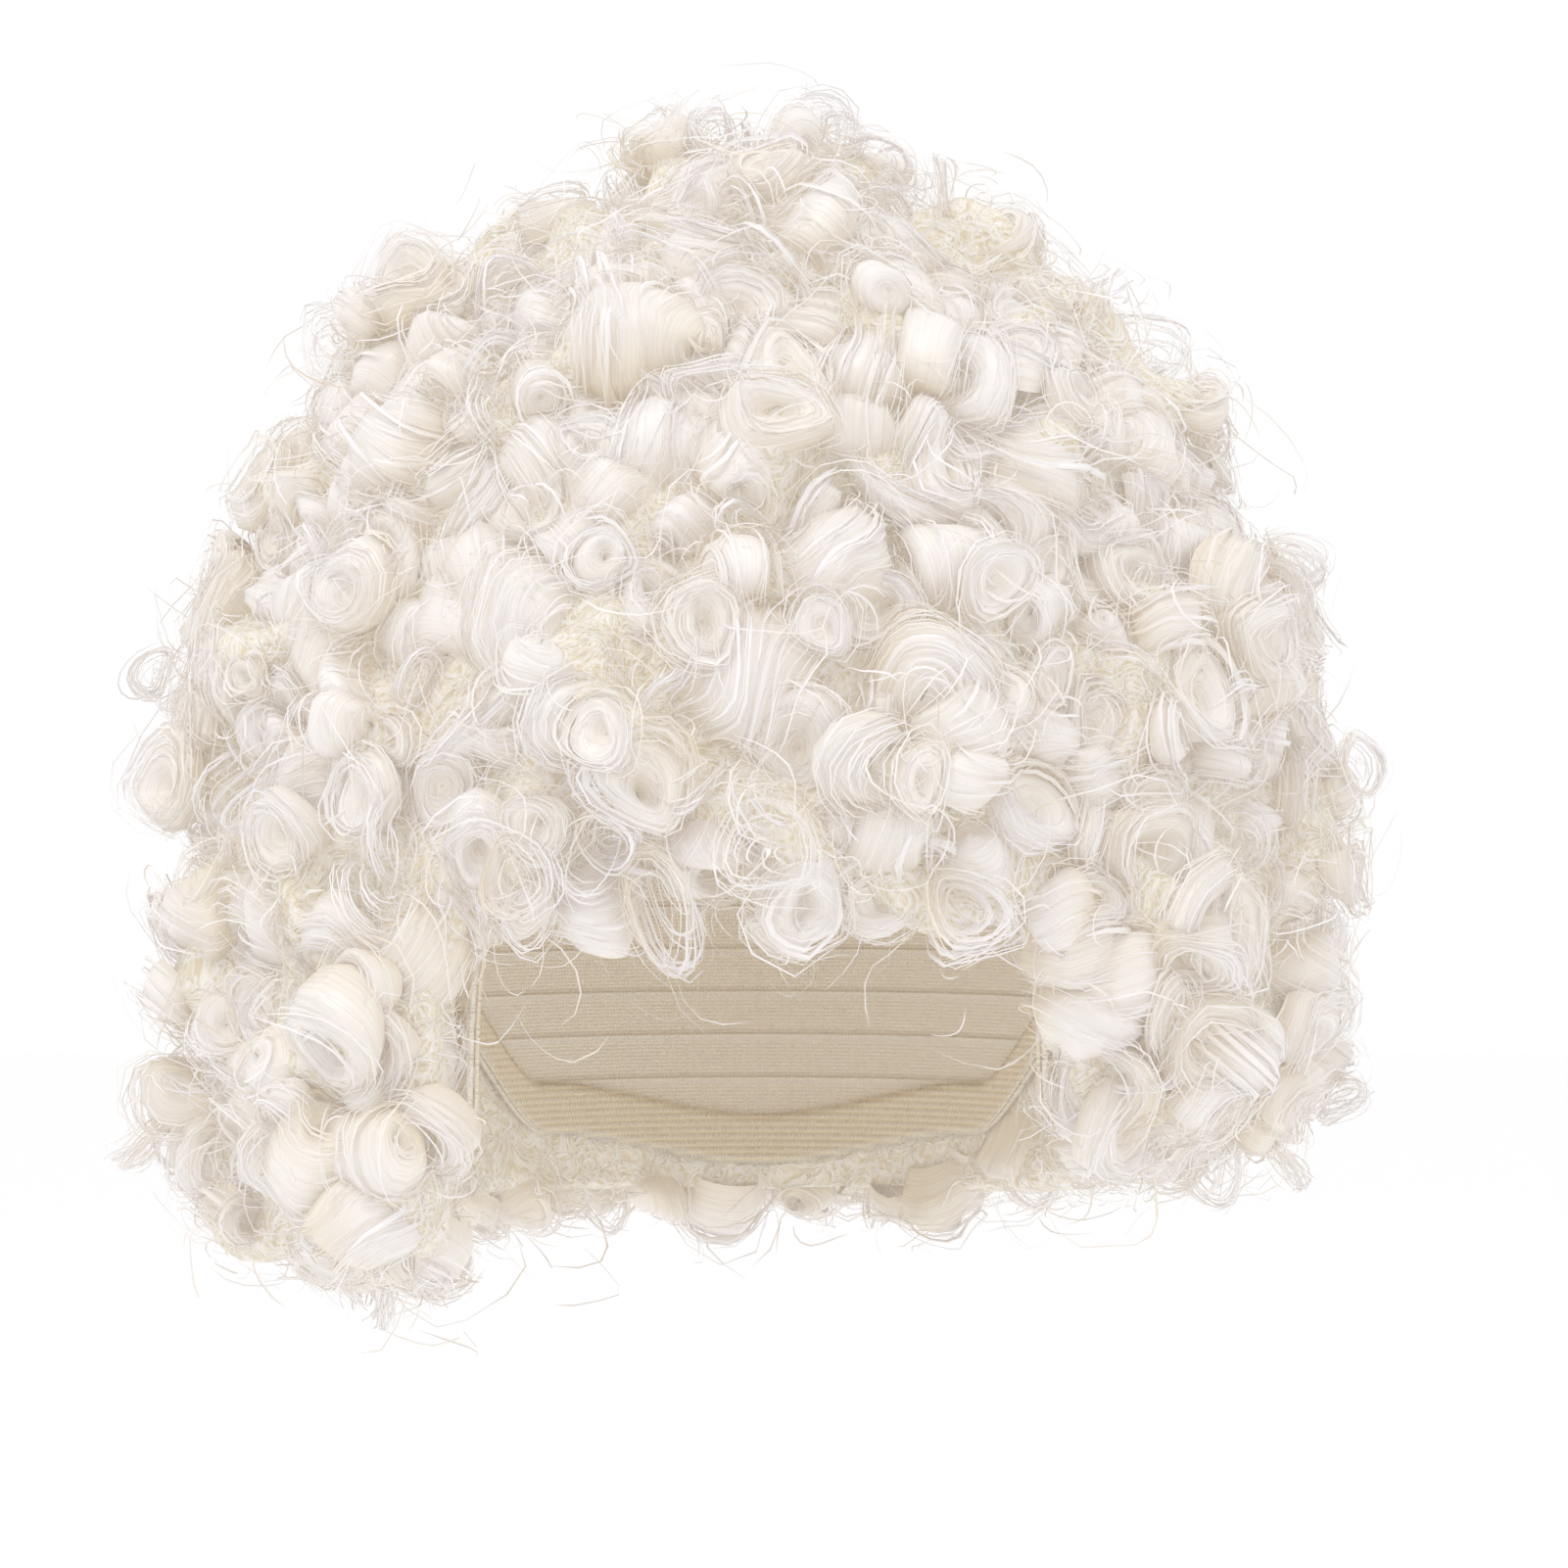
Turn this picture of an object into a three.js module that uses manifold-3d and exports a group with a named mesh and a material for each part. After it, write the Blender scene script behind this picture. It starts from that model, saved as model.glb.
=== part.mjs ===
// A white curly party wig as it is worn: a stretch cap, the elastic hem sewn inside its edge,
// and the hair, which is sewn to the cap in six sections of curled locks.
// Millimetres. +Z is up, the face looks along -Y, and +X is on the wearer's left.
// The origin is the point inside the cap that the crown of the head touches.
import * as THREE from "three";
import { mergeVertices } from "three/addons/utils/BufferGeometryUtils.js";
import Module from "manifold-3d";

// The head that the cap fits
const HEAD_WIDTH = 150;
const HEAD_LENGTH = 188;
const DOME_DEPTH = 82; // from the crown down to the widest level
const NECK_TAPER = 0.14; // share of the girth lost at the nape's edge
const NECK_LEAN = 13; // how far the head's outline moves forward by then

// Cap and hem
const CAP_WALL = 1.6;
const FOREHEAD_EDGE = 78; // depth of the cap's edge below the crown, here and in the next three
const TEMPLE_EDGE = 141;
const EAR_EDGE = 119;
const NAPE_EDGE = 158;
const HEM_WIDTH = 11;
const HEM_WALL = 1.1;
const SEAT_GAP = 0.3; // left between pieces that are sewn face to face

// Hair under its outermost curls: its thickness from the head, and where it ends below the crown
const CROWN_HAIR = 64;
const FRONT_HAIR = 25;
const BACK_HAIR = 44;
const RIGHT_HAIR = 45;
const LEFT_HAIR = 44;
const FRINGE_DROP = 92;
const RIGHT_DROP = 175;
const LEFT_DROP = 146;
const BACK_DROP = 166;

// The opening in the hair that the face looks out of
const FACE_WIDTH = 131;
const FACE_DROP = 90; // depth of the opening's top below the crown
const FACE_CORNER = 30; // radius of its upper corners

// Where one section of hair ends and the next begins
const CROWN_LINE = 20; // depth of the crown section's lower edge
const NAPE_LINE = 98; // depth of the nape section's upper edge
const FRINGE_TURN = 32; // degrees from the face to the fringe's edge
const SIDE_TURN = 124; // degrees from the face to the back of each side

// One curled lock
const CURL_RADIUS = 14; // of the line that the lock winds along
const LOCK_WIDTH = 17;
const LOCK_THICKNESS = 14;
const CURL_ARC = 320; // degrees that a lock lying flat winds through
const BURIED_ARC = 55; // degrees left out at each end of an upright one, where it would be inside the hair

const DEGREE = Math.PI / 180;
const GOLDEN = 0.618034; // spreads the locks' turns and tilts evenly, with no two neighbours alike
const COLUMNS = 32; // around the cap and the space for the head
const HULL_COLUMNS = 18; // around the hair
const FAR = 3 * (HEAD_LENGTH + BACK_HAIR + BACK_DROP); // well outside the wig

// The cap's edge, by turn from the face in degrees
const CAP_EDGE = [
  { turn: 0, depth: FOREHEAD_EDGE },
  { turn: 30, depth: FOREHEAD_EDGE + 0.1 * (TEMPLE_EDGE - FOREHEAD_EDGE) },
  { turn: 48, depth: FOREHEAD_EDGE + 0.42 * (TEMPLE_EDGE - FOREHEAD_EDGE) },
  { turn: 60, depth: TEMPLE_EDGE },
  { turn: 68, depth: TEMPLE_EDGE },
  { turn: 80, depth: EAR_EDGE + 0.25 * (TEMPLE_EDGE - EAR_EDGE) },
  { turn: 95, depth: EAR_EDGE },
  { turn: 112, depth: EAR_EDGE + 0.2 * (NAPE_EDGE - EAR_EDGE) },
  { turn: 135, depth: EAR_EDGE + 0.8 * (NAPE_EDGE - EAR_EDGE) },
  { turn: 180, depth: NAPE_EDGE },
];

// The hair's lower edge, by turn from the face, plus towards the wearer's left
const HAIR_EDGE = [
  { turn: -180, depth: BACK_DROP },
  { turn: -125, depth: BACK_DROP },
  { turn: -80, depth: RIGHT_DROP },
  { turn: -45, depth: RIGHT_DROP },
  { turn: -22, depth: FRINGE_DROP },
  { turn: 22, depth: FRINGE_DROP },
  { turn: 45, depth: LEFT_DROP },
  { turn: 80, depth: LEFT_DROP },
  { turn: 125, depth: BACK_DROP },
  { turn: 180, depth: BACK_DROP },
];

// Sections of the hair's outer form, from the top of the crown's tuft to the lower edge. Fall is the share
// of the way down. The others are shares of the head's half width or length with that side's hair.
const HAIR_FORM = [
  { fall: 0.05, right: 0.29, left: 0.22, front: 0.17, back: 0.27 },
  { fall: 0.13, right: 0.61, left: 0.51, front: 0.36, back: 0.59 },
  { fall: 0.23, right: 0.78, left: 0.7, front: 0.53, back: 0.77 },
  { fall: 0.35, right: 0.9, left: 0.84, front: 0.69, back: 0.9 },
  { fall: 0.5, right: 0.97, left: 0.93, front: 0.81, back: 0.98 },
  { fall: 0.7, right: 0.98, left: 1, front: 0.92, back: 0.99 },
  { fall: 0.88, right: 1, left: 0.98, front: 0.99, back: 0.91 },
  { fall: 1, right: 0.88, left: 0.86, front: 0.93, back: 0.78 },
];

// Rows of locks: the section that they are sewn in, how far down as a share of the longest side, how many
// lie side by side, and how big their curls are, as a share of CURL_RADIUS
const LOCK_ROWS = [
  { section: "crown", drop: 0.03, count: 3, size: 0.95 },
  { section: "crown", drop: 0.09, count: 5, size: 1.1 },
  { section: "crown", drop: 0.175, count: 8, size: 1.05 },
  { section: "crown", drop: 0.27, count: 9, size: 1.1 },
  { section: "fringe", drop: 0.44, count: 3, size: 0.95 },
  { section: "fringe", drop: 0.54, count: 2, size: 1.05 },
  { section: "fringe", drop: 0.635, count: 3, size: 1 },
  { section: "right", drop: 0.44, count: 4, size: 1 },
  { section: "right", drop: 0.555, count: 3, size: 1.05 },
  { section: "right", drop: 0.67, count: 3, size: 1.05 },
  { section: "right", drop: 0.785, count: 3, size: 1.05 },
  { section: "right", drop: 0.94, count: 3, size: 1.05 },
  { section: "left", drop: 0.44, count: 4, size: 1 },
  { section: "left", drop: 0.555, count: 3, size: 1.05 },
  { section: "left", drop: 0.67, count: 3, size: 1.05 },
  { section: "left", drop: 0.81, count: 3, size: 1.05 },
  { section: "back", drop: 0.44, count: 4, size: 1.1 },
  { section: "back", drop: 0.59, count: 4, size: 1.05 },
  { section: "nape", drop: 0.775, count: 4, size: 1.1 },
  { section: "nape", drop: 0.9, count: 4, size: 1 },
];

const HAIR_COLOUR = 0xf2ece2;
const CAP_COLOUR = 0xe9dcae;
const HEM_COLOUR = 0xe4d49c;

const wasm = await Module();
wasm.setup();

// A smooth reading between the rows of a table, by turn
function depthAt(table, turn) {
  const last = table.findIndex((row) => row.turn >= turn - 1e-9);
  if (last < 1) return table[Math.max(last, 0)].depth;
  const a = table[last - 1];
  const b = table[last];
  const share = (turn - a.turn) / (b.turn - a.turn);
  const eased = share * share * (3 - 2 * share);
  return a.depth + eased * (b.depth - a.depth);
}

// The same turn between -180 and 180 degrees
function wrap(turn) {
  return ((((turn + 180) % 360) + 360) % 360) - 180;
}

// A closed body from rings of points. Its ends are points, or it joins its own first ring where they are left out.
function skin(rings, startPoint, endPoint) {
  const count = rings[0].length;
  const points = rings.flat();
  const faces = [];
  const at = (ring, i) => ring * count + (i % count);
  const bands = startPoint ? rings.length - 1 : rings.length;
  for (let ring = 0; ring < bands; ring++) {
    const next = (ring + 1) % rings.length;
    for (let i = 0; i < count; i++) {
      faces.push(at(ring, i), at(next, i), at(next, i + 1));
      faces.push(at(ring, i), at(next, i + 1), at(ring, i + 1));
    }
  }
  if (startPoint) {
    const start = points.push(startPoint) - 1;
    const end = points.push(endPoint) - 1;
    const lastRing = rings.length - 1;
    for (let i = 0; i < count; i++) {
      faces.push(start, at(0, i), at(0, i + 1));
      faces.push(end, at(lastRing, i + 1), at(lastRing, i));
    }
  }
  const geometry = new THREE.BufferGeometry().setFromPoints(points);
  geometry.setIndex(faces);
  return geometry;
}

function solid(geometry) {
  const bare = geometry.clone();
  bare.deleteAttribute("normal");
  bare.deleteAttribute("uv");
  const merged = mergeVertices(bare, 1e-4);
  const vertProperties = merged.attributes.position.array;
  const triVerts = new Uint32Array(merged.index.array);
  const made = new wasm.Manifold(new wasm.Mesh({ numProp: 3, vertProperties, triVerts }));
  if (made.volume() > 0) return made;
  const turned = triVerts.map((_, i) => triVerts[i % 3 ? i + (i % 3 === 1 ? 1 : -1) : i]);
  return new wasm.Manifold(new wasm.Mesh({ numProp: 3, vertProperties, triVerts: turned }));
}

// The largest outer skin of a body, so that no air is closed in between its locks and no snippet hangs loose
function largestSkin(body) {
  return body.decompose().reduce((best, part) => (part.volume() > best.volume() ? part : best));
}

function geometryOf(body) {
  const mesh = body.getMesh();
  const geometry = new THREE.BufferGeometry();
  geometry.setAttribute("position", new THREE.BufferAttribute(mesh.vertProperties, 3));
  geometry.setIndex(new THREE.BufferAttribute(mesh.triVerts, 1));
  geometry.computeVertexNormals();
  return geometry;
}

// A point of the head's surface moved out by grow, at a turn in degrees and a depth below the crown
function headPoint(turn, depth, grow) {
  const a = turn * DEGREE;
  const above = Math.max(0, 1 - depth / DOME_DEPTH);
  const below = Math.max(0, (depth - DOME_DEPTH) / (NAPE_EDGE - DOME_DEPTH));
  const girth = depth < DOME_DEPTH ? Math.sqrt(1 - above * above) : 1 - NECK_TAPER * below * below;
  const x = (HEAD_WIDTH / 2 + grow) * girth * Math.sin(a);
  const y = -(HEAD_LENGTH / 2 + grow) * girth * Math.cos(a) - NECK_LEAN * below * below;
  return new THREE.Vector3(x, y, -depth + grow * above);
}

const COURSES = [0.17, 0.36, 0.57, 0.79, 1]; // shares of the way from the crown to the hem

// Rings from the crown to the cap's edge. The last band of them is as wide as the hem.
function capRings(grow) {
  const ring = (depthOf) =>
    Array.from({ length: COLUMNS }, (_, i) => {
      const turn = (360 * i) / COLUMNS;
      return headPoint(turn, depthOf(depthAt(CAP_EDGE, Math.min(turn, 360 - turn))), grow);
    });
  const courses = COURSES.map((share) =>
    ring((edge) => (edge - HEM_WIDTH) * (1 - Math.cos((share * Math.PI) / 2))),
  );
  return [...courses, ring((edge) => edge)];
}

function crownPoint(grow) {
  return new THREE.Vector3(0, 0, grow);
}

function makeCap() {
  const rings = [...capRings(CAP_WALL), ...capRings(0).reverse()];
  return solid(skin(rings, crownPoint(CAP_WALL), crownPoint(0)));
}

function makeHem() {
  const outside = capRings(-SEAT_GAP).slice(-2);
  const inside = capRings(-SEAT_GAP - HEM_WALL).slice(-2);
  return solid(skin([...outside.reverse(), ...inside])); // its facets turn the same way as the cap's inner ones
}

// What the hair leaves free for the cap and, below it, for the head and neck
function makeHeadSpace() {
  const rings = capRings(CAP_WALL + SEAT_GAP);
  const low = rings.at(-1).map((p) => new THREE.Vector3(p.x, p.y, -FAR));
  return solid(skin([...rings, low], crownPoint(CAP_WALL + SEAT_GAP), new THREE.Vector3(0, 0, -FAR)));
}

// The opening for the face runs straight forward out of the hair
function makeFaceSpace() {
  const half = FACE_WIDTH / 2;
  const outline = new THREE.Shape();
  outline.moveTo(-half, FAR);
  outline.lineTo(-half, FACE_DROP + FACE_CORNER);
  outline.absarc(-half + FACE_CORNER, FACE_DROP + FACE_CORNER, FACE_CORNER, Math.PI, 1.5 * Math.PI, false);
  outline.absarc(half - FACE_CORNER, FACE_DROP + FACE_CORNER, FACE_CORNER, 1.5 * Math.PI, 2 * Math.PI, false);
  outline.lineTo(half, FAR);
  const geometry = new THREE.ExtrudeGeometry(outline, { depth: FAR, bevelEnabled: false, curveSegments: 5 });
  const facing = new THREE.Matrix4().set(1, 0, 0, 0, 0, 0, -1, 0, 0, -1, 0, 0, 0, 0, 0, 1);
  return solid(geometry.applyMatrix4(facing));
}

// The hair's outer form under its locks, at a turn from the face and a share of the way down
function hairPoint(turn, fall) {
  const a = turn * DEGREE;
  const next = Math.max(1, HAIR_FORM.findIndex((row) => row.fall >= fall - 1e-9));
  const low = HAIR_FORM[next - 1];
  const high = HAIR_FORM[next];
  const share = (fall - low.fall) / (high.fall - low.fall);
  const reach = (side) => low[side] + share * (high[side] - low[side]);
  const across = Math.sin(a) > 0 ? (HEAD_WIDTH / 2 + LEFT_HAIR) * reach("left") : (HEAD_WIDTH / 2 + RIGHT_HAIR) * reach("right");
  const along = Math.cos(a) > 0 ? (HEAD_LENGTH / 2 + FRONT_HAIR) * reach("front") : (HEAD_LENGTH / 2 + BACK_HAIR) * reach("back");
  const drop = CROWN_HAIR + depthAt(HAIR_EDGE, wrap(turn));
  return new THREE.Vector3(across * Math.sin(a), -along * Math.cos(a), CROWN_HAIR - fall * drop);
}

function makeHairForm() {
  const rings = HAIR_FORM.map((row) =>
    Array.from({ length: HULL_COLUMNS }, (_, i) => hairPoint((360 * i) / HULL_COLUMNS, row.fall)),
  );
  const top = new THREE.Vector3(0, 0, CROWN_HAIR);
  const lowest = Math.min(...rings.at(-1).map((p) => p.z));
  return solid(skin(rings, top, new THREE.Vector3(0, 0, lowest)));
}

// One lock: a strand of hair wound into an open curl, thick at its root and narrow at its tip. Its axis
// leans from the surface's normal by tilt, towards spin. The root is sunk in the hair's form.
function makeLock(turn, fall, size, tilt, spin) {
  const step = 0.5;
  const here = hairPoint(turn, fall);
  const along = hairPoint(turn + step, fall).sub(hairPoint(turn - step, fall)).normalize();
  const down = hairPoint(turn, Math.min(1, fall + step / 100)).sub(hairPoint(turn, fall - step / 100)).normalize();
  const normal = new THREE.Vector3().crossVectors(down, along).normalize();
  const side = along.clone().applyAxisAngle(normal, spin);
  const axis = normal.clone().applyAxisAngle(side, tilt);
  const inward = normal.clone().negate().addScaledVector(axis, normal.dot(axis)).normalize();
  const across = new THREE.Vector3().crossVectors(axis, inward);
  const radius = CURL_RADIUS * size;
  const upright = Math.sin(tilt) * Math.sin(tilt);
  const centre = here.addScaledVector(normal, 0.05 * LOCK_WIDTH - 0.3 * radius * upright);
  const start = (360 - CURL_ARC) / 2 + BURIED_ARC * upright;
  const arc = CURL_ARC - 2 * BURIED_ARC * upright;
  const steps = Math.round(arc / 50);
  const sides = 5;
  const ringAt = (share) => {
    const angle = (start + share * arc) * DEGREE;
    const outward = inward.clone().multiplyScalar(Math.cos(angle)).addScaledVector(across, Math.sin(angle));
    const middle = centre.clone().addScaledVector(outward, radius);
    const taper = 1 - 0.4 * share * share;
    return Array.from({ length: sides }, (_, i) => {
      const around = (2 * Math.PI * (i + 0.5)) / sides;
      return middle
        .clone()
        .addScaledVector(outward, (LOCK_THICKNESS / 2) * taper * Math.cos(around))
        .addScaledVector(axis, (LOCK_WIDTH / 2) * taper * Math.sin(around));
    });
  };
  const rings = Array.from({ length: steps + 1 }, (_, i) => ringAt(i / steps));
  const middleOf = (ring) => ring.reduce((sum, p) => sum.add(p), new THREE.Vector3()).divideScalar(sides);
  return solid(skin(rings, middleOf(rings[0]), middleOf(rings.at(-1))));
}

// A block that holds one section of the hair: a sector between two turns, from one depth to another
function makeSectionSpace({ from, to, top, bottom }) {
  const whole = to - from >= 360;
  const stops = Array.from({ length: 9 }, (_, i) => (from + ((to - from) * i) / 8) * DEGREE);
  const far = stops.map((a) => new THREE.Vector2(HEAD_WIDTH * Math.sin(a), -HEAD_LENGTH * Math.cos(a)).setLength(FAR));
  const bisector = far[4].clone().normalize();
  const half = Math.abs(Math.atan2(far[0].cross(bisector), far[0].dot(bisector)));
  const clear = whole ? new THREE.Vector2() : bisector.multiplyScalar(SEAT_GAP / 2 / Math.sin(half));
  const corners = whole ? far.slice(0, 8) : [new THREE.Vector2(), ...far];
  const outline = new THREE.Shape(corners.map((corner) => corner.clone().add(clear)));
  const height = bottom - top - SEAT_GAP;
  const geometry = new THREE.ExtrudeGeometry(outline, { depth: height, bevelEnabled: false });
  return solid(geometry.translate(0, 0, -bottom + SEAT_GAP / 2));
}

const SECTIONS = [
  { name: "crown", node: "crown_hair", from: -180, to: 180, top: -FAR, bottom: CROWN_LINE },
  { name: "fringe", node: "fringe_hair", from: -FRINGE_TURN, to: FRINGE_TURN, top: CROWN_LINE, bottom: FAR },
  { name: "right", node: "right_side_hair", from: -SIDE_TURN, to: -FRINGE_TURN, top: CROWN_LINE, bottom: FAR },
  { name: "left", node: "left_side_hair", from: FRINGE_TURN, to: SIDE_TURN, top: CROWN_LINE, bottom: FAR },
  { name: "back", node: "back_hair", from: SIDE_TURN, to: 360 - SIDE_TURN, top: CROWN_LINE, bottom: NAPE_LINE },
  { name: "nape", node: "nape_hair", from: SIDE_TURN, to: 360 - SIDE_TURN, top: NAPE_LINE, bottom: FAR },
];

// The locks of one section, row by row. Each is turned and tilted in its own way.
function makeLocks(section) {
  const longest = CROWN_HAIR + Math.max(...HAIR_EDGE.map((row) => row.depth));
  const rows = LOCK_ROWS.filter((row) => row.section === section.name);
  const locks = [];
  for (const [rowIndex, row] of rows.entries()) {
    for (let i = 0; i < row.count; i++) {
      const scatter = (GOLDEN * (i + 1) + 0.37 * rowIndex + section.from / 360) % 1;
      const other = (GOLDEN * (3 * i + 2) + 0.59 * rowIndex + (section.to + 360) / 360) % 1;
      const turn = section.from + ((section.to - section.from) * (i + 0.5)) / row.count;
      const fall = (row.drop * longest) / (CROWN_HAIR + depthAt(HAIR_EDGE, wrap(turn)));
      const tilt = (15 + 55 * other) * DEGREE;
      if (fall <= 1) locks.push(makeLock(turn, fall, row.size, tilt, 2 * Math.PI * scatter));
    }
  }
  return locks;
}

function makeHair() {
  const form = makeHairForm().subtract(makeFaceSpace());
  const headSpace = makeHeadSpace();
  return SECTIONS.map((section) => {
    const space = makeSectionSpace(section);
    const body = wasm.Manifold.union([form.intersect(space), ...makeLocks(section)]);
    return { node: section.node, body: largestSkin(body.intersect(space).subtract(headSpace)) };
  });
}

function makeMesh(name, body, colour, roughness) {
  const material = new THREE.MeshStandardMaterial({ color: colour, roughness, metalness: 0 });
  const mesh = new THREE.Mesh(geometryOf(body), material);
  mesh.name = name;
  return mesh;
}

const wig = new THREE.Group();
wig.add(makeMesh("cap", makeCap(), CAP_COLOUR, 0.9));
wig.add(makeMesh("hem_band", makeHem(), HEM_COLOUR, 0.85));
for (const { node, body } of makeHair()) wig.add(makeMesh(node, body, HAIR_COLOUR, 0.55));

export default wig;
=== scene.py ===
"""A white curly party wig in the shape it has when worn, dressed over its CAD solids.

The hair is real strands: flat single fibres and wider wisps, wound round soft bulks into ringlets,
coils and puffs, or left as loose loops, all on a matt under layer. Millimetres are used until a
mesh is made, which is in metres.
"""

import math

import bmesh
import bpy
import numpy as np
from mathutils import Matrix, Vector
from mathutils.bvhtree import BVHTree


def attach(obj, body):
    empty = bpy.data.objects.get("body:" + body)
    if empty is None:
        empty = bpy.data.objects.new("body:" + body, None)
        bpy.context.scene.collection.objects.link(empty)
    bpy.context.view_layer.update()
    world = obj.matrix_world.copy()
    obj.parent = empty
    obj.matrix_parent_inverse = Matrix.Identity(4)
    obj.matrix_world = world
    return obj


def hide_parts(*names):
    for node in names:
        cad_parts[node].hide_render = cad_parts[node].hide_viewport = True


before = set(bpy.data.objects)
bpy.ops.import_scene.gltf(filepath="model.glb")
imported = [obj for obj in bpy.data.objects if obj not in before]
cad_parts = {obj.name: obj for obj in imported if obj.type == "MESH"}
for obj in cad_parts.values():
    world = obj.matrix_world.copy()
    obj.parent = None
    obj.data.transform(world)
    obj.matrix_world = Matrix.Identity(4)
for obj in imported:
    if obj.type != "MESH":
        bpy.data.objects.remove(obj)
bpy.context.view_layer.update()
bpy.ops.object.select_all(action="DESELECT")

MM = 0.001
TAU = 2 * math.pi
rng = np.random.default_rng(41)

# The cap's form, as in the part's source
HEAD_WIDTH = 150
HEAD_LENGTH = 188
DOME_DEPTH = 82
NECK_TAPER = 0.14
NECK_LEAN = 13
CAP_WALL = 1.6
NAPE_EDGE = 158
HEM_WIDTH = 11
HEM_WALL = 1.1
SEAT_GAP = 0.3
CAP_EDGE_TURN = [0, 30, 48, 60, 68, 80, 95, 112, 135, 180]
CAP_EDGE_DEPTH = [78, 84.3, 104.5, 141, 141, 124.5, 119, 126.8, 150.2, 158]

# The middle of the hair and its rough half sizes, for the way that hair stands out from the head
HAIR_MIDDLE = np.array([0, 8, -62.0])
HAIR_HALF = np.array([132, 140, 132.0])

UNDER_DEPTH = 6  # how far the body under the curls lies below their outer form
FIBRE_WIDTH = (0.2, 0.36)  # a real fibre is finer, but would not show
WISP_WIDTH = (0.5, 1.1)
BULK_SHARE = 0.87  # size of a curl's bulk next to that of the strands round it
SURFACE_RAYS = 7600  # rays that look for the hair's outside
EVEN_REACH = 7  # how far off the points lie that even out a place on it
CURL_SPACING = 11.4
FRONT_CLOSER = 1.0  # the front's curls stand closer by this
CURL_KINDS = {"ringlet": 0.46, "coil": 0.7, "puff": 0.82}  # shares added up, the rest loose loops
TANGLE_PLACES = 5600  # places on the under hair that may carry loose fibres
MOST_TRIANGLES = 175_000  # past this a piece is followed by a second one

HAIR_NODES = [
    "crown_hair",
    "fringe_hair",
    "right_side_hair",
    "left_side_hair",
    "back_hair",
    "nape_hair",
]


# ---- materials ----


def linear(hex_colour):
    """An sRGB hex colour as linear red, green, blue and alpha."""
    parts = [int(hex_colour[i : i + 2], 16) / 255 for i in (1, 3, 5)]
    return [
        p / 12.92 if p <= 0.04045 else ((p + 0.055) / 1.055) ** 2.4 for p in parts
    ] + [1]


def add_node(tree, kind, settings=None, **links):
    """A node of this kind. Settings are its own properties, and links are its inputs by name."""
    node = tree.nodes.new(kind)
    for name, value in (settings or {}).items():
        setattr(node, name, value)
    for name, value in links.items():
        key = int(name[1:]) if name[0] == "i" and name[1:].isdigit() else name
        socket = node.inputs[key if isinstance(key, int) else key.replace("_", " ")]
        if isinstance(value, bpy.types.NodeSocket):
            tree.links.new(value, socket)
        else:
            socket.default_value = value
    return node


def new_material(name):
    material = bpy.data.materials.new(name)
    material.use_nodes = True
    tree = material.node_tree
    tree.nodes.clear()
    surface = tree.nodes.new("ShaderNodeBsdfPrincipled")
    out = tree.nodes.new("ShaderNodeOutputMaterial")
    tree.links.new(surface.outputs[0], out.inputs[0])
    return material, tree, surface


def set_ramp(node, stops):
    """Colour stops of a ramp node: (place, hex colour) each."""
    ramp = node.color_ramp
    while len(ramp.elements) > 1:
        ramp.elements.remove(ramp.elements[-1])
    ramp.elements[0].position = stops[0][0]
    ramp.elements[0].color = linear(stops[0][1])
    for place, colour in stops[1:]:
        ramp.elements.new(place).color = linear(colour)
    return node


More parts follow.
